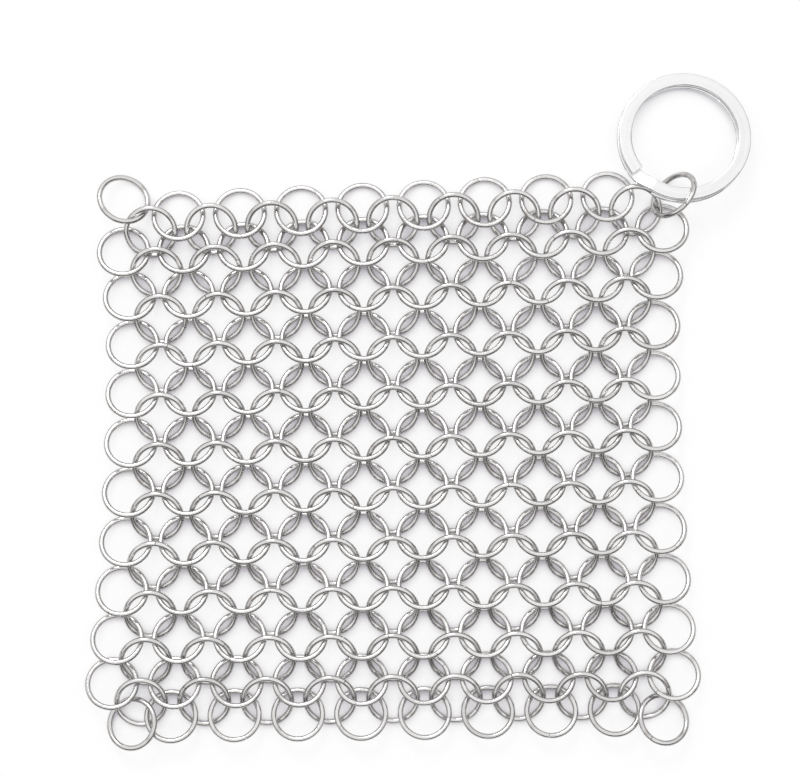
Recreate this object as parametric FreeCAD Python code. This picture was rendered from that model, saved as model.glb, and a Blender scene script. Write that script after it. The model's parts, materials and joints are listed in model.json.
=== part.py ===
import FreeCAD, Part
import math
import os

os.makedirs("parts", exist_ok=True)

Vector = FreeCAD.Vector
origin = Vector(0, 0, 0)
up = Vector(0, 0, 1)

# one link: round steel wire bent into a ring, its two ends butted
link_outer = 12.0
wire = 1.2
seam_gap = 0.1
seam_step = 137.5

# the sheet: long rows of links, with a short row linked between each two
long_rows = 12
long_row_links = 10
side_gap = 0.75
row_reach = 1.152
peak_share = 0.5
link_clearance = 0.145
steepest_lean = 25.0

# how the sheet lies: gathered and flatter at two edges, narrow near the top, rows not quite level
edge_gather = 0.42
edge_flatten = 0.24
edge_fall = 1.6
waist_place = 0.27
top_flare = 0.06
bottom_flare = 0.095
top_slope = 2.6
bottom_slope = 0.8
row_bow = 0.1
bow_balance = 0.4
link_play = 0.03
play_turn = 1.7

# loose corner links: how far each one lies from the link that holds it, in link radii, and its lean
top_left_reach = (-1.086, 1.305)
top_left_tip = (22.5, 20.8)
top_right_reach = (1.497, 0.581)
top_right_tip = (30.3, -47.8)
bottom_left_reach = (-0.362, -0.86)
bottom_left_tip = (12.7, -18.8)
bottom_right_reach = (0.762, -0.97)
bottom_right_tip = (20.9, 16.6)

# split ring: two flat coils of one strip, with a short step from coil to coil
ring_outer = 29.0
ring_band = 2.8
coil_thickness = 0.9
coil_gap = 0.1
coil_edge = 0.28
step_angle = 20.0
step_sections = 8
step_place = 228.0
end_gap = 0.4
coil_slip = 0.55
ring_shift = 0.477
ring_rise = 0.262

# sizes that follow from the ones above
link_radius = (link_outer - wire) / 2
link_inner = link_outer - 2 * wire
row_count = 2 * long_rows - 1
row_repeat = row_reach * link_inner
ring_middle = (ring_outer - ring_band) / 2
coil_lift = (coil_thickness + coil_gap) / 2
half_height = coil_thickness / 2 + coil_lift


# a link's place is its centre and the direction square to its ring
def ring_points(link, count=72):
    centre, square = link
    side = square.cross(Vector(0, 1, 0)).normalize()
    fore = square.cross(side)
    points = []
    for step in range(count):
        turn = 2 * math.pi * step / count
        points.append(centre + (side * math.cos(turn) + fore * math.sin(turn)) * link_radius)
    return points


def wire_gap(first, second):
    centre, square = second
    least = link_outer
    for point in ring_points(first):
        away = point - centre
        height = away.dot(square)
        flat = math.sqrt(max(away.dot(away) - height * height, 0.0))
        least = min(least, math.hypot(height, flat - link_radius))
    return least - wire


def edge_factor(steps_in, amount):
    return 1.0 - amount * math.exp(-steps_in / edge_fall)


# distance of each row from the first one, down the sheet
def row_places():
    places = [0.0]
    for gap in range(row_count - 1):
        share = peak_share if gap % 2 == 0 else 1.0 - peak_share
        inward = min(gap, row_count - 2 - gap)
        places.append(places[-1] + row_repeat * share * edge_factor(inward, edge_gather))
    return places


# distance between two links of a row, least at the waist
def row_pitch(down):
    if down < waist_place:
        flare = top_flare * ((waist_place - down) / waist_place) ** 2
    else:
        flare = bottom_flare * ((down - waist_place) / (1 - waist_place)) ** 2
    return (link_outer + side_gap) * (1 + flare)


# one row: its links share a plane, long rows lean one way and short rows the other
def lay_row(index, places, tilt):
    down = places[index] / places[-1]
    long_row = index % 2 == 0
    lean = math.radians(tilt * edge_factor(min(index, row_count - 1 - index), edge_flatten))
    slope = FreeCAD.Rotation(up, top_slope + (bottom_slope - top_slope) * down)
    along = slope.multVec(Vector(1, 0, 0))
    rise = -math.sin(lean) if long_row else math.sin(lean)
    across = slope.multVec(Vector(0, math.cos(lean), rise))
    links = long_row_links if long_row else long_row_links - 1
    first = (index // 2) * (2 * long_row_links - 1) + (0 if long_row else long_row_links)
    half_width = (link_outer + side_gap) * long_row_links / 2
    centres = []
    for place in range(links):
        number = first + place + 1
        x = (place - (links - 1) / 2) * row_pitch(down)
        bow = row_bow * ((x / half_width) ** 2 - bow_balance)
        x_play = link_play * math.sin(math.radians(seam_step * number))
        y_play = link_play * math.sin(play_turn * number * number)
        centres.append(along * (x + x_play) + across * (bow + y_play))
    # the row's lowest link rests on the table
    height = wire / 2 + link_radius * math.sin(lean) - min(centre.z for centre in centres)
    base = Vector(0, places[-1] / 2 - places[index], height)
    square = along.cross(across)
    return [(base + centre, square) for centre in centres]


def lay_sheet(tilt):
    places = row_places()
    return [lay_row(index, places, tilt) for index in range(row_count)]


# a link of a short row holds two links of the row above it and two of the row below
def tightest(rows):
    least = link_outer
    for index in range(1, row_count, 2):
        for place, link in enumerate(rows[index]):
            for near in (rows[index - 1], rows[index + 1]):
                least = min(least, wire_gap(link, near[place]), wire_gap(link, near[place + 1]))
    return least


# the least lean that leaves the clearance between all linked links, or the most that a row takes
def solve_tilt():
    low = 0.0
    high = steepest_lean
    for _ in range(10):
        middle = (low + high) / 2
        if tightest(lay_sheet(middle)) < link_clearance:
            low = middle
        else:
            high = middle
    return high


# a corner link that leans on the table at its own angle
def leaning_corner(holder, reach, tip):
    lean = FreeCAD.Rotation(Vector(0, 1, 0), tip[1]) * FreeCAD.Rotation(Vector(1, 0, 0), -tip[0])
    square = lean.multVec(up)
    height = wire / 2 + link_radius * math.sqrt(1 - square.z ** 2)
    x = holder[0].x + reach[0] * link_radius
    y = holder[0].y + reach[1] * link_radius
    return Vector(x, y, height), square


def make_link(link, number):
    open_angle = math.degrees(seam_gap / link_radius)
    solid = Part.makeTorus(link_radius, wire / 2, origin, up, 0, 360, 360 - open_angle)
    solid.rotate(origin, up, seam_step * number)
    place = FreeCAD.Placement(link[0], FreeCAD.Rotation(up, link[1]))
    solid.Placement = place.multiply(solid.Placement)
    return solid


# the strip's cross-section with rounded edges, in the XZ plane
def strip_section():
    inner = ring_outer / 2 - ring_band
    outer = ring_outer / 2
    half = coil_thickness / 2
    bend = coil_edge * (1 - math.sqrt(0.5))
    edges = []
    corners = [(outer, -half, -1, 1), (outer, half, -1, -1), (inner, half, 1, -1), (inner, -half, 1, 1)]
    rounds = []
    for number, (x, z, in_x, in_z) in enumerate(corners):
        beside = Vector(x + in_x * coil_edge, 0, z)
        above = Vector(x, 0, z + in_z * coil_edge)
        middle = Vector(x + in_x * bend, 0, z + in_z * bend)
        rounds.append((beside, middle, above) if number % 2 == 0 else (above, middle, beside))
    for number, (start, middle, finish) in enumerate(rounds):
        edges.append(Part.Arc(start, middle, finish).toShape())
        edges.append(Part.makeLine(finish, rounds[(number + 1) % 4][0]))
    return Part.Wire(edges)


def placed_section(angle, height, slip):
    section = strip_section()
    section.rotate(origin, up, angle)
    section.translate(Vector(slip, 0, height))
    return section


def make_coil(start, finish, height, slip):
    return Part.Face(placed_section(start, height, slip)).revolve(Vector(slip, 0, 0), up, finish - start)


# the lower coil lies a little off the upper one, towards the step
def make_split_ring():
    half_step = step_angle / 2
    lower = make_coil(half_step + math.degrees(end_gap / ring_middle), 360 - half_step, -coil_lift, coil_slip)
    upper = make_coil(half_step, 360 - half_step - math.degrees(end_gap / ring_middle), coil_lift, 0.0)
    sections = []
    for number in range(step_sections + 1):
        part = number / step_sections
        smooth = part * part * (3 - 2 * part)
        height = coil_lift * (2 * smooth - 1)
        sections.append(placed_section(step_angle * (part - 0.5), height, coil_slip * (1 - smooth)))
    step = Part.makeLoft(sections, True, True)
    ring = lower.fuse([step, upper]).removeSplitter()
    ring.rotate(origin, up, step_place)
    return ring.Solids[0]


# the ring leans from the table up to its corner link, far edge down
def ring_placement(corner):
    centre = corner[0]
    near = centre.z + ring_rise * link_radius
    lean = math.asin((near - half_height) / (ring_outer / 2 + ring_middle))
    height = half_height * math.cos(lean) + ring_outer / 2 * math.sin(lean)
    y = centre.y + ring_middle * math.cos(lean)
    place = Vector(centre.x + ring_shift * link_radius, y, height)
    return FreeCAD.Placement(place, FreeCAD.Rotation(Vector(1, 0, 0), -math.degrees(lean)))


sheet = lay_sheet(solve_tilt())
top_holders = sheet[1]
bottom_holders = sheet[-2]
corners = {
    "corner_link_top_left": leaning_corner(top_holders[0], top_left_reach, top_left_tip),
    "corner_link_top_right": leaning_corner(top_holders[-1], top_right_reach, top_right_tip),
    "corner_link_bottom_left": leaning_corner(bottom_holders[0], bottom_left_reach, bottom_left_tip),
    "corner_link_bottom_right": leaning_corner(bottom_holders[-1], bottom_right_reach, bottom_right_tip),
}

nodes = {}
count = 0
for index, row in enumerate(sheet):
    held = row[1:-1] if index in (0, row_count - 1) else row
    solids = []
    for link in held:
        count += 1
        solids.append(make_link(link, count))
    nodes["row_%02d" % (index + 1)] = Part.makeCompound(solids)
for name, link in corners.items():
    count += 1
    nodes[name] = make_link(link, count)
split_ring = make_split_ring()
split_ring.Placement = ring_placement(corners["corner_link_top_right"]).multiply(split_ring.Placement)
nodes["split_ring"] = split_ring

# the origin is on the table, under the middle of the whole piece
reach = Part.makeCompound(list(nodes.values())).optimalBoundingBox(False, False)
to_middle = Vector(-(reach.XMin + reach.XMax) / 2, -(reach.YMin + reach.YMax) / 2, 0)
for name, shape in nodes.items():
    shape.translate(to_middle)
    shape.exportStep("parts/" + name + ".step")
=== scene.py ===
import json
import math

import bpy
import numpy as np
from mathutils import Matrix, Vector


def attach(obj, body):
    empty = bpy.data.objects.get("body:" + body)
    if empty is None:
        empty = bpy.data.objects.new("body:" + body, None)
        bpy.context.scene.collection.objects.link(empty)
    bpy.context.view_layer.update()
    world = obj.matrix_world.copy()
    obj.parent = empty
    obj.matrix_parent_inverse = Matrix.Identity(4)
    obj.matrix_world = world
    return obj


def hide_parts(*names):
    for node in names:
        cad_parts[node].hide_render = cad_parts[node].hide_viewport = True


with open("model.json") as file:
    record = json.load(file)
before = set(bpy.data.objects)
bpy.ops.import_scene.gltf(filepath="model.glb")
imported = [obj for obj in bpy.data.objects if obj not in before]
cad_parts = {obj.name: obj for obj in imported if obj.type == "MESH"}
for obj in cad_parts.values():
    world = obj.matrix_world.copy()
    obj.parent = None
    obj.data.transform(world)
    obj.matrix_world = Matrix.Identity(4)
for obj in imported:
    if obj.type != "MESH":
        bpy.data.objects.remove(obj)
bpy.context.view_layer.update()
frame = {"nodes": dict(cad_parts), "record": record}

nodes = frame["nodes"]
record = frame["record"]
scene = bpy.context.scene
print("frame loaded:", len(nodes), "nodes")


# small helpers for node trees

def addNode(tree, kind, **settings):
    node = tree.nodes.new(kind)
    for key, value in settings.items():
        setattr(node, key, value)
    return node


def feed(tree, socket, value):
    if isinstance(value, bpy.types.NodeSocket):
        tree.links.new(value, socket)
    else:
        socket.default_value = value


def maths(tree, operation, *values):
    node = addNode(tree, "ShaderNodeMath", operation=operation)
    for socket, value in zip(node.inputs, values):
        feed(tree, socket, value)
    return node.outputs[0]


def vectorMaths(tree, operation, *values):
    node = addNode(tree, "ShaderNodeVectorMath", operation=operation)
    for socket, value in zip(node.inputs, values):
        feed(tree, socket, value)
    return node.outputs["Value" if operation in ("LENGTH", "DOT_PRODUCT") else "Vector"]


def spread(tree, value, low, high, toLow, toHigh):
    node = addNode(tree, "ShaderNodeMapRange", interpolation_type="SMOOTHSTEP")
    limits = {"Value": value, "From Min": low, "From Max": high, "To Min": toLow, "To Max": toHigh}
    for name, given in limits.items():
        feed(tree, node.inputs[name], given)
    return node.outputs["Result"]


def blendColours(tree, factor, first, second):
    node = addNode(tree, "ShaderNodeMix", data_type="RGBA")
    feed(tree, node.inputs[0], factor)
    feed(tree, node.inputs[6], first)            # the first two colour sockets
    feed(tree, node.inputs[7], second)
    return node.outputs[2]


def blendValues(tree, first, firstShare, second, secondShare):
    return maths(tree, "MULTIPLY_ADD", first, firstShare, maths(tree, "MULTIPLY", second, secondShare))


def noise(tree, vector, scale, detail, roughness=0.5):
    node = addNode(tree, "ShaderNodeTexNoise")
    feed(tree, node.inputs["Vector"], vector)
    feed(tree, node.inputs["Scale"], scale)
    feed(tree, node.inputs["Detail"], detail)
    feed(tree, node.inputs["Roughness"], roughness)
    return node.outputs[0]


def attribute(tree, name, output="Fac"):
    return addNode(tree, "ShaderNodeAttribute", attribute_name=name).outputs[output]


def newGroup(name, inputs, outputs):
    group = bpy.data.node_groups.new(name, "ShaderNodeTree")
    for label, kind in inputs:
        group.interface.new_socket(label, in_out="INPUT", socket_type=kind)
    for label, kind in outputs:
        group.interface.new_socket(label, in_out="OUTPUT", socket_type=kind)
    return group, addNode(group, "NodeGroupInput"), addNode(group, "NodeGroupOutput")


def useGroup(tree, group, **values):
    node = addNode(tree, "ShaderNodeGroup")
    node.node_tree = group
    for name, value in values.items():
        feed(tree, node.inputs[name], value)
    return node.outputs


# shared effects: lines left by drawing or turning the steel, and the marks of handling

linesLook = {
    "fineDetail": 3.0,
    "fineRoughness": 0.6,
    "fineRange": (0.3, 0.7),
    "wideScale": 0.22,                   # times the fineness
    "wideDetail": 2.0,
    "wideRange": (0.35, 0.65),
}

marksLook = {
    "filmDetail": 4.0,
    "filmRoughness": 0.55,
    "filmRange": (0.38, 0.66),
    "scuffScale": 9.0,                   # times the film's scale
    "scuffWidth": 0.05,
}


def makeDrawLines(look):
    group, given, out = newGroup(
        "drawLines",
        [("Vector", "NodeSocketVector"), ("Fineness", "NodeSocketFloat")],
        [("Lines", "NodeSocketFloat"), ("Bands", "NodeSocketFloat")],
    )
    place, fineness = given.outputs["Vector"], given.outputs["Fineness"]
    fine = noise(group, place, fineness, look["fineDetail"], look["fineRoughness"])
    wide = noise(group, place, maths(group, "MULTIPLY", fineness, look["wideScale"]), look["wideDetail"])
    feed(group, out.inputs["Lines"], spread(group, fine, *look["fineRange"], 0.0, 1.0))
    feed(group, out.inputs["Bands"], spread(group, wide, *look["wideRange"], 0.0, 1.0))
    return group


def makeHandling(look):
    group, given, out = newGroup(
        "handling",
        [("Vector", "NodeSocketVector"), ("Scale", "NodeSocketFloat")],
        [("Film", "NodeSocketFloat"), ("Scuffs", "NodeSocketFloat")],
    )
    place, scale = given.outputs["Vector"], given.outputs["Scale"]
    film = noise(group, place, scale, look["filmDetail"], look["filmRoughness"])
    feed(group, out.inputs["Film"], spread(group, film, *look["filmRange"], 0.0, 1.0))
    cells = addNode(group, "ShaderNodeTexVoronoi", feature="DISTANCE_TO_EDGE")
    feed(group, cells.inputs["Vector"], place)
    feed(group, cells.inputs["Scale"], maths(group, "MULTIPLY", scale, look["scuffScale"]))
    scuffs = spread(group, cells.outputs["Distance"], 0.0, look["scuffWidth"], 1.0, 0.0)
    feed(group, out.inputs["Scuffs"], scuffs)
    return group


drawLines = makeDrawLines(linesLook)
handling = makeHandling(marksLook)


# roughness and fine relief that both steels share

def wearSteel(tree, look, lines, marks):
    shader = tree.nodes["Principled BSDF"]
    shader.inputs["Metallic"].default_value = 1.0
    worn = blendValues(tree, marks["Film"], look["filmRough"], lines["Lines"], 1.0 - look["filmRough"])
    feed(tree, shader.inputs["Roughness"], spread(tree, worn, 0.0, 1.0, look["roughLow"], look["roughHigh"]))
    bump = addNode(tree, "ShaderNodeBump")
    bump.inputs["Strength"].default_value = look["lineDepth"]
    bump.inputs["Distance"].default_value = look["lineHeight"]
    relief = maths(tree, "MULTIPLY_ADD", marks["Scuffs"], -look["scuffDepth"], lines["Lines"])
    feed(tree, bump.inputs["Height"], relief)
    feed(tree, shader.inputs["Normal"], bump.outputs[0])


# wire links

linkLook = {
    "bright": (0.76, 0.75, 0.745, 1.0),
    "dull": (0.54, 0.53, 0.52, 1.0),
    "bandShare": 0.45,                   # of the dull colour, by bands along the wire
    "toneShare": 0.55,                   # of the dull colour, by link
    "rub": (0.34, 0.31, 0.29, 1.0),      # where two links touch
    "rubPlace": 0.77,                    # cosine of the angle from the row to a crossing
    "rubWidth": 0.13,
    "rubShare": 0.55,
    "edge": (0.16, 0.15, 0.145, 1.0),    # painted shade on the flanks of the wire, darker where they turn away from the camera
    "edgeStart": 0.35,
    "edgeEnd": 0.9,
    "edgeShare": 0.78,
    "seam": (0.40, 0.385, 0.37, 1.0),
    "seamRun": 0.004,
    "lineFineness": 5.0,
    "lineStretch": 1.6,                  # noise cells along the wire for each unit of fineness
    "toneShift": 40.0,                   # moves the pattern from link to link
    "markScale": 160.0,
    "filmRough": 0.5,
    "roughLow": 0.09,
    "roughHigh": 0.19,
    "lineDepth": 0.07,
    "lineHeight": 0.0001,
    "scuffDepth": 0.4,
}


def makeLinkSteel(look):
    steel = bpy.data.materials.new("drawnLinkSteel")
    steel.use_nodes = True
    tree = steel.node_tree
    run = attribute(tree, "wireRun")
    tone = attribute(tree, "linkTone")
    turn = attribute(tree, "seamTurn")
    around = attribute(tree, "wireRound", "Vector")
    place = addNode(tree, "ShaderNodeTexCoord").outputs["Object"]

    # the pattern runs along the wire, and starts elsewhere on each link
    along = addNode(tree, "ShaderNodeCombineXYZ")
    feed(tree, along.inputs["Z"], blendValues(tree, run, look["lineStretch"], tone, look["toneShift"]))
    wirePlace = vectorMaths(tree, "ADD", around, along.outputs[0])
    lines = useGroup(tree, drawLines, Vector=wirePlace, Fineness=look["lineFineness"])
    marks = useGroup(tree, handling, Vector=place, Scale=look["markScale"])
    dulled = blendValues(tree, lines["Bands"], look["bandShare"], tone, look["toneShare"])
    colour = blendColours(tree, dulled, look["bright"], look["dull"])

    # rubbed where the four held links cross this one
    angle = maths(tree, "MULTIPLY_ADD", run, 2 * math.pi, turn)
    sideways = maths(tree, "ABSOLUTE", maths(tree, "COSINE", angle))
    off = maths(tree, "ABSOLUTE", maths(tree, "SUBTRACT", sideways, look["rubPlace"]))
    rub = spread(tree, off, 0.0, look["rubWidth"], look["rubShare"], 0.0)
    colour = blendColours(tree, maths(tree, "MULTIPLY", rub, marks["Film"]), colour, look["rub"])

    # painted shade on the flanks, darker where the wire turns away from the camera, and darker cut ends
    slant = addNode(tree, "ShaderNodeLayerWeight").outputs["Facing"]
    paintedFlankMask = spread(tree, slant, look["edgeStart"], look["edgeEnd"], 0.0, look["edgeShare"])
    # the painted flank shade goes into the base colour
    colour = blendColours(tree, paintedFlankMask, colour, look["edge"])
    nearEnd = maths(tree, "MINIMUM", run, maths(tree, "SUBTRACT", 1.0, run))
    seam = spread(tree, nearEnd, 0.0, look["seamRun"], 1.0, 0.0)
    colour = blendColours(tree, seam, colour, look["seam"])
    feed(tree, tree.nodes["Principled BSDF"].inputs["Base Color"], colour)
    wearSteel(tree, look, lines, marks)
    return steel


linkSteel = makeLinkSteel(linkLook)

linkForm = {
    "middleRadius": 0.0054,
    "wireRadius": 0.0006,
    "seamGap": 0.00005,
    "stepsRound": 40,
    "stepsWire": 12,
    "pinch": 0.95,                       # wire thickness at its cut ends
    "pinchRun": 0.006,
    "toneSeed": 11,
    "leastSpace": 0.00045,               # between two links along their row
    "endFacing": 0.95,                   # a cut end looks along the wire
}


# each link's centre, axis and seam, read from the node that it stands for
def readLinks(name, form):
    mesh = nodes[name].data
    corners = np.empty(len(mesh.loops), np.int32)
    mesh.loops.foreach_get("vertex_index", corners)
    points = np.empty(len(mesh.vertices) * 3, np.float32)
    mesh.vertices.foreach_get("co", points)
    facing = np.empty(len(mesh.polygons) * 3, np.float32)
    mesh.polygons.foreach_get("normal", facing)
    triangles = points.reshape(-1, 3)[corners].reshape(-1, 3, 3).astype(float)
    facing = facing.reshape(-1, 3).astype(float)
    middles = triangles.mean(1)
    spreadOut = middles - middles.mean(0)
    rowWay = np.linalg.eigh(spreadOut.T @ spreadOut)[1][:, 2]
    reach = spreadOut @ rowWay
    order = np.argsort(reach)
    cuts = np.flatnonzero(np.diff(reach[order]) > form["leastSpace"]) + 1
    found = []
    for part in np.split(order, cuts):
        cloud = triangles[part].reshape(-1, 3)
        middle = cloud.mean(0)
        axes = np.linalg.eigh((cloud - middle).T @ (cloud - middle))[1]
        axis = axes[:, 0] * np.sign(axes[2, 0])
        across = np.cross(axis, (1.0, 0.0, 0.0))
        across /= np.linalg.norm(across)
        level = np.cross(across, axis)
        turned = cloud @ np.stack([level, across, axis], 1)
        centre = np.stack([level, across, axis], 1) @ ((turned.max(0) + turned.min(0)) / 2)
        outward = middles[part] - centre
        tangent = np.cross(axis, outward)
        tangent /= np.linalg.norm(tangent, axis=1)[:, None]
        ends = np.abs((facing[part] * tangent).sum(1)) > form["endFacing"]
        seamWay = outward[ends].mean(0)
        seamWay -= axis * (seamWay @ axis)
        seamWay /= np.linalg.norm(seamWay)
        seamTurn = math.atan2(seamWay @ across, seamWay @ level)
        found.append({"centre": centre, "linkAxis": axis, "seamWay": seamWay, "seamTurn": seamTurn})
    return found


weaveSockets = {
    "Links": "NodeSocketGeometry",
    "Middle radius": "NodeSocketFloat",
    "Wire radius": "NodeSocketFloat",
    "Seam gap": "NodeSocketFloat",
    "Steps round": "NodeSocketInt",
    "Steps wire": "NodeSocketInt",
    "Pinch": "NodeSocketFloat",
    "Pinch run": "NodeSocketFloat",
    "Tone seed": "NodeSocketInt",
    "Steel": "NodeSocketMaterial",
}


def makeWeaveTree(sockets):
    tree = bpy.data.node_groups.new("wireLinks", "GeometryNodeTree")
    given = {}
    for label, kind in sockets.items():
        given[label] = tree.interface.new_socket(label, in_out="INPUT", socket_type=kind).identifier
    tree.interface.new_socket("Geometry", in_out="OUTPUT", socket_type="NodeSocketGeometry")
    source = addNode(tree, "NodeGroupInput").outputs
    out = addNode(tree, "NodeGroupOutput")

    def keep(geometry, name, value, kind="FLOAT", domain="POINT"):
        node = addNode(tree, "GeometryNodeStoreNamedAttribute", data_type=kind, domain=domain)
        feed(tree, node.inputs["Geometry"], geometry)
        feed(tree, node.inputs["Name"], name)
        feed(tree, node.inputs["Value"], value)
        return node.outputs[0]

    def stored(name):
        node = addNode(tree, "GeometryNodeInputNamedAttribute", data_type="FLOAT_VECTOR")
        feed(tree, node.inputs["Name"], name)
        return node.outputs[0]

    # the wire's line, open at the seam
    gapAngle = maths(tree, "DIVIDE", source["Seam gap"], source["Middle radius"])
    line = addNode(tree, "GeometryNodeCurveArc")
    feed(tree, line.inputs["Resolution"], source["Steps round"])
    feed(tree, line.inputs["Radius"], source["Middle radius"])
    feed(tree, line.inputs["Start Angle"], maths(tree, "MULTIPLY", gapAngle, 0.5))
    feed(tree, line.inputs["Sweep Angle"], maths(tree, "SUBTRACT", 2 * math.pi, gapAngle))
    run = addNode(tree, "GeometryNodeSplineParameter").outputs["Factor"]
    wire = keep(line.outputs["Curve"], "wireRun", run)

    # its round section, a little pinched at the cut ends
    section = addNode(tree, "GeometryNodeCurvePrimitiveCircle")
    feed(tree, section.inputs["Resolution"], source["Steps wire"])
    feed(tree, section.inputs["Radius"], source["Wire radius"])
    side = vectorMaths(tree, "NORMALIZE", addNode(tree, "GeometryNodeInputPosition").outputs[0])
    rim = keep(section.outputs["Curve"], "wireRound", side, "FLOAT_VECTOR")
    tube = addNode(tree, "GeometryNodeCurveToMesh")
    feed(tree, tube.inputs["Curve"], wire)
    feed(tree, tube.inputs["Profile Curve"], rim)
    feed(tree, tube.inputs["Fill Caps"], True)
    nearEnd = maths(tree, "MINIMUM", run, maths(tree, "SUBTRACT", 1.0, run))
    feed(tree, tube.inputs["Scale"], spread(tree, nearEnd, 0.0, source["Pinch run"], source["Pinch"], 1.0))

    # one link at each point, its axis and seam turned to their places
    upright = addNode(tree, "FunctionNodeAlignRotationToVector", axis="Z")
    feed(tree, upright.inputs["Vector"], stored("linkAxis"))
    seamed = addNode(tree, "FunctionNodeAlignRotationToVector", axis="X", pivot_axis="Z")
    feed(tree, seamed.inputs["Rotation"], upright.outputs[0])
    feed(tree, seamed.inputs["Vector"], stored("seamWay"))
    links = addNode(tree, "GeometryNodeInstanceOnPoints")
    feed(tree, links.inputs["Points"], source["Links"])
    feed(tree, links.inputs["Instance"], tube.outputs[0])
    feed(tree, links.inputs["Rotation"], seamed.outputs[0])
    tone = addNode(tree, "FunctionNodeRandomValue", data_type="FLOAT")
    feed(tree, tone.inputs["Seed"], source["Tone seed"])
    toned = keep(links.outputs[0], "linkTone", tone.outputs[1], domain="INSTANCE")

    # plain faces with the steel on them
    real = addNode(tree, "GeometryNodeRealizeInstances")
    feed(tree, real.inputs[0], toned)
    smooth = addNode(tree, "GeometryNodeSetShadeSmooth")
    feed(tree, smooth.inputs[0], real.outputs[0])
    dressed = addNode(tree, "GeometryNodeSetMaterial")
    feed(tree, dressed.inputs["Geometry"], smooth.outputs[0])
    feed(tree, dressed.inputs["Material"], source["Steel"])
    feed(tree, out.inputs[0], dressed.outputs[0])
    return tree, given


def makeLinks(name, number, tree, given, form):
    found = readLinks(name, form)
    seeds = bpy.data.meshes.new(name + "_places")
    seeds.from_pydata([link["centre"].tolist() for link in found], [], [])
    for label, kind, field in (
        ("linkAxis", "FLOAT_VECTOR", "vector"),
        ("seamWay", "FLOAT_VECTOR", "vector"),
        ("seamTurn", "FLOAT", "value"),
    ):
        values = np.array([link[label] for link in found], np.float32).ravel()
        seeds.attributes.new(label, kind, "POINT").data.foreach_set(field, values)
    piece = bpy.data.objects.new("links_" + name, seeds)
    scene.collection.objects.link(piece)
    weave = piece.modifiers.new("links", "NODES")
    weave.node_group = tree
    settings = {
        "Middle radius": form["middleRadius"],
        "Wire radius": form["wireRadius"],
        "Seam gap": form["seamGap"],
        "Steps round": form["stepsRound"],
        "Steps wire": form["stepsWire"],
        "Pinch": form["pinch"],
        "Pinch run": form["pinchRun"],
        "Tone seed": form["toneSeed"] + number,
        "Steel": linkSteel,
    }
    for label, value in settings.items():
        weave[given[label]] = value
    built = piece.evaluated_get(bpy.context.evaluated_depsgraph_get())
    mesh = bpy.data.meshes.new_from_object(built)
    piece.modifiers.remove(weave)
    piece.data = mesh
    bpy.data.meshes.remove(seeds)
    for label in ("linkAxis", "seamWay"):
        if label in mesh.attributes:
            mesh.attributes.remove(mesh.attributes[label])
    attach(piece, name)
    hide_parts(name)
    return len(found), len(mesh.polygons)


weaveTree, weaveInputs = makeWeaveTree(weaveSockets)
linkNodes = sorted(name for name in nodes if name != "split_ring")
linkCounts = []
for number, name in enumerate(linkNodes):
    linkCounts.append(makeLinks(name, number, weaveTree, weaveInputs, linkForm))
print("links:", sum(count for count, _ in linkCounts), "faces:", sum(faces for _, faces in linkCounts))


# split ring: the node keeps its shape and gets turned steel

ringLook = {
    "bright": (0.80, 0.80, 0.805, 1.0),
    "dull": (0.72, 0.72, 0.725, 1.0),
    "bandShare": 0.5,
    "filmShare": 0.5,
    "lineFineness": 4.0,
    "lineScale": 900.0,                  # across the lines, to the metre
    "turnScale": 0.5,                    # along them, to the radian
    "markScale": 120.0,
    "filmRough": 0.6,
    "roughLow": 0.12,
    "roughHigh": 0.24,
    "lineDepth": 0.06,
    "lineHeight": 0.0001,
    "scuffDepth": 0.5,
}


def makeRingSteel(look):
    steel = bpy.data.materials.new("turnedRingSteel")
    steel.use_nodes = True
    tree = steel.node_tree
    place = addNode(tree, "ShaderNodeTexCoord").outputs["Object"]
    hanger = record["mounts"][0]
    axis = hanger["axis"]
    level = addNode(tree, "ShaderNodeMapping", vector_type="TEXTURE")
    feed(tree, level.inputs["Vector"], place)
    level.inputs["Location"].default_value = hanger["pos_m"]
    tilt = (math.atan2(-axis[1], axis[2]), math.atan2(axis[0], axis[2]), 0.0)
    level.inputs["Rotation"].default_value = tilt

    # lines run round the ring
    apart = addNode(tree, "ShaderNodeSeparateXYZ")
    feed(tree, apart.inputs[0], level.outputs[0])
    flat = vectorMaths(tree, "MULTIPLY", level.outputs[0], (1.0, 1.0, 0.0))
    radius = vectorMaths(tree, "LENGTH", flat)
    turn = maths(tree, "ARCTAN2", apart.outputs["Y"], apart.outputs["X"])
    circling = addNode(tree, "ShaderNodeCombineXYZ")
    feed(tree, circling.inputs["X"], maths(tree, "MULTIPLY", radius, look["lineScale"]))
    feed(tree, circling.inputs["Y"], maths(tree, "MULTIPLY", turn, look["turnScale"]))
    feed(tree, circling.inputs["Z"], maths(tree, "MULTIPLY", apart.outputs["Z"], look["lineScale"]))
    lines = useGroup(tree, drawLines, Vector=circling.outputs[0], Fineness=look["lineFineness"])
    marks = useGroup(tree, handling, Vector=place, Scale=look["markScale"])
    dulled = blendValues(tree, lines["Bands"], look["bandShare"], marks["Film"], look["filmShare"])
    colour = blendColours(tree, dulled, look["bright"], look["dull"])
    feed(tree, tree.nodes["Principled BSDF"].inputs["Base Color"], colour)
    wearSteel(tree, look, lines, marks)
    return steel


splitRing = nodes["split_ring"]
splitRing.data.materials.clear()
splitRing.data.materials.append(makeRingSteel(ringLook))
print("split ring dressed")


# floor, light and camera

plainWhite = (1.0, 1.0, 1.0, 1.0)

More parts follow.
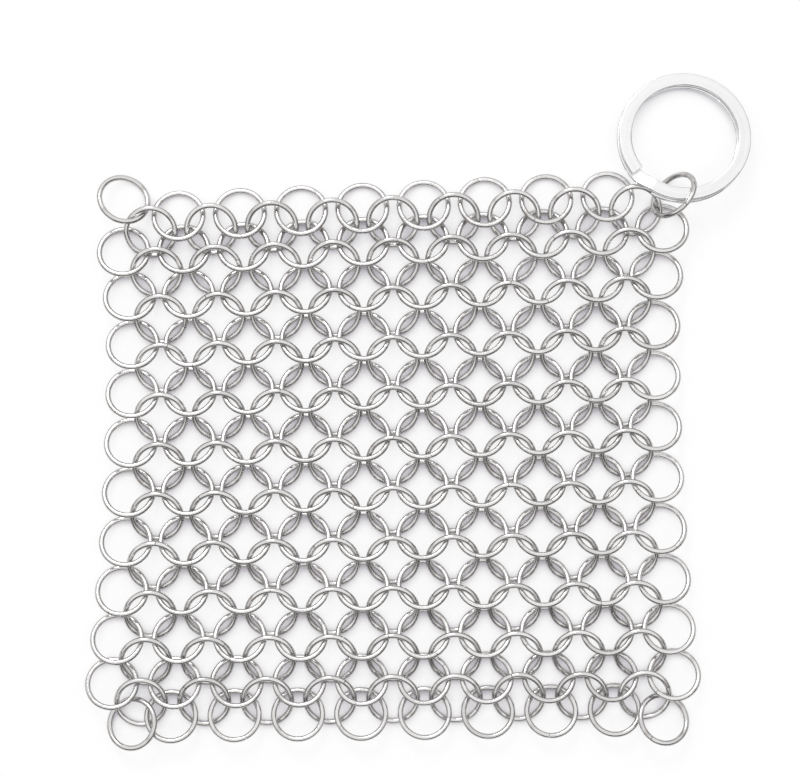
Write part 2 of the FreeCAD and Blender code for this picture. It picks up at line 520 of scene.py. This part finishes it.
stageLook = {
    "floorSize": 8.0,
    "floorLevel": -0.00002,              # just clear of the lowest wires
    "floorColour": (0.97, 0.968, 0.975, 1.0),
    "shade": (0.31, 0.275, 0.335, 1.0),  # of the table close under the wires
    "shadeReach": 0.005,
    "shadeSamples": 12,
    "shadeLean": (-0.1, 0.35, 0.93),     # shade falls away from this side
    "shadeLow": 0.14,
    "shadeHigh": 0.73,
    "whiteSeen": 0.8,                    # share of plain white for the camera and in mirrors
    "whiteMirrored": 0.3,
}

skyLook = {
    "centre": (-0.08, 0.32, 0.94),       # the middle of the large overhead light
    "dark": 0.1,
    "bright": 1.14,
    "rim": 0.28,                         # cosines of its outer and inner edge
    "full": 0.58,
    "seen": 1.0,                         # plain white behind the table
}

keyLook = {
    "size": 0.45,
    "place": (-0.3, 1.0, 1.0),
    "power": 5.0,
}


def makeFloor(look):
    half = look["floorSize"] / 2
    mesh = bpy.data.meshes.new("tableTop")
    corners = [(-half, -half, 0.0), (half, -half, 0.0), (half, half, 0.0), (-half, half, 0.0)]
    mesh.from_pydata(corners, [], [(0, 1, 2, 3)])
    floor = bpy.data.objects.new("tableTop", mesh)
    floor.location.z = look["floorLevel"]
    scene.collection.objects.link(floor)
    white = bpy.data.materials.new("whiteTable")
    white.use_nodes = True
    tree = white.node_tree
    tree.nodes.remove(tree.nodes["Principled BSDF"])
    matt = addNode(tree, "ShaderNodeBsdfDiffuse")
    matt.inputs["Color"].default_value = look["floorColour"]

    # plain white for the camera, shaded close under the wires
    nearby = addNode(tree, "ShaderNodeAmbientOcclusion", samples=look["shadeSamples"])
    nearby.inputs["Distance"].default_value = look["shadeReach"]
    lean = addNode(tree, "ShaderNodeCombineXYZ")
    for socket, value in zip(lean.inputs, Vector(look["shadeLean"]).normalized()):
        socket.default_value = value
    feed(tree, nearby.inputs["Normal"], lean.outputs[0])
    clear = spread(tree, nearby.outputs["AO"], look["shadeLow"], look["shadeHigh"], 0.0, 1.0)
    glow = addNode(tree, "ShaderNodeEmission")
    feed(tree, glow.inputs["Color"], blendColours(tree, clear, look["shade"], plainWhite))
    rays = addNode(tree, "ShaderNodeLightPath").outputs
    mirrored = maths(tree, "MAXIMUM", rays["Is Glossy Ray"], rays["Is Transmission Ray"])
    inMirrors = maths(tree, "MULTIPLY", mirrored, look["whiteMirrored"])
    inView = maths(tree, "MULTIPLY", rays["Is Camera Ray"], look["whiteSeen"])
    both = addNode(tree, "ShaderNodeMixShader")
    feed(tree, both.inputs[0], maths(tree, "MAXIMUM", inView, inMirrors))
    feed(tree, both.inputs[1], matt.outputs[0])
    feed(tree, both.inputs[2], glow.outputs[0])
    feed(tree, tree.nodes["Material Output"].inputs["Surface"], both.outputs[0])
    mesh.materials.append(white)


def makeSky(look):
    sky = bpy.data.worlds.new("studio")
    sky.use_nodes = True
    tree = sky.node_tree
    way = addNode(tree, "ShaderNodeTexCoord").outputs["Generated"]
    nearness = vectorMaths(tree, "DOT_PRODUCT", way, tuple(Vector(look["centre"]).normalized()))
    light = spread(tree, nearness, look["rim"], look["full"], look["dark"], look["bright"])
    seen = addNode(tree, "ShaderNodeLightPath").outputs["Is Camera Ray"]
    shown = maths(tree, "MULTIPLY_ADD", seen, maths(tree, "SUBTRACT", look["seen"], light), light)
    backdrop = tree.nodes["Background"]
    backdrop.inputs["Color"].default_value = plainWhite
    feed(tree, backdrop.inputs["Strength"], shown)
    scene.world = sky


def makeKey(look):
    lamp = bpy.data.lights.new("key", "AREA")
    lamp.shape = "SQUARE"
    lamp.size = look["size"]
    lamp.energy = look["power"]
    holder = bpy.data.objects.new("key", lamp)
    holder.location = look["place"]
    holder.rotation_euler = (-Vector(look["place"])).to_track_quat("-Z", "Y").to_euler()
    scene.collection.objects.link(holder)


cameraLook = {
    "centre": (-0.003813, 0.005031),     # the point of the table at the picture's middle
    "height": 0.5,
    "level": 0.0027,                     # height of the links' middle
    "width": 0.17616,                    # seen at that height, across the picture
    "sensor": 36.0,
    "clip": (0.01, 20.0),
}


def makeCamera(look):
    eye = bpy.data.cameras.new("overhead")
    eye.sensor_width = look["sensor"]
    eye.lens = look["sensor"] * (look["height"] - look["level"]) / look["width"]
    eye.clip_start, eye.clip_end = look["clip"]
    holder = bpy.data.objects.new("overhead", eye)
    holder.location = (*look["centre"], look["height"])
    scene.collection.objects.link(holder)
    scene.camera = holder


makeFloor(stageLook)
makeSky(skyLook)
makeKey(keyLook)
makeCamera(cameraLook)
scene.view_settings.view_transform = "Standard"
print("stage set")
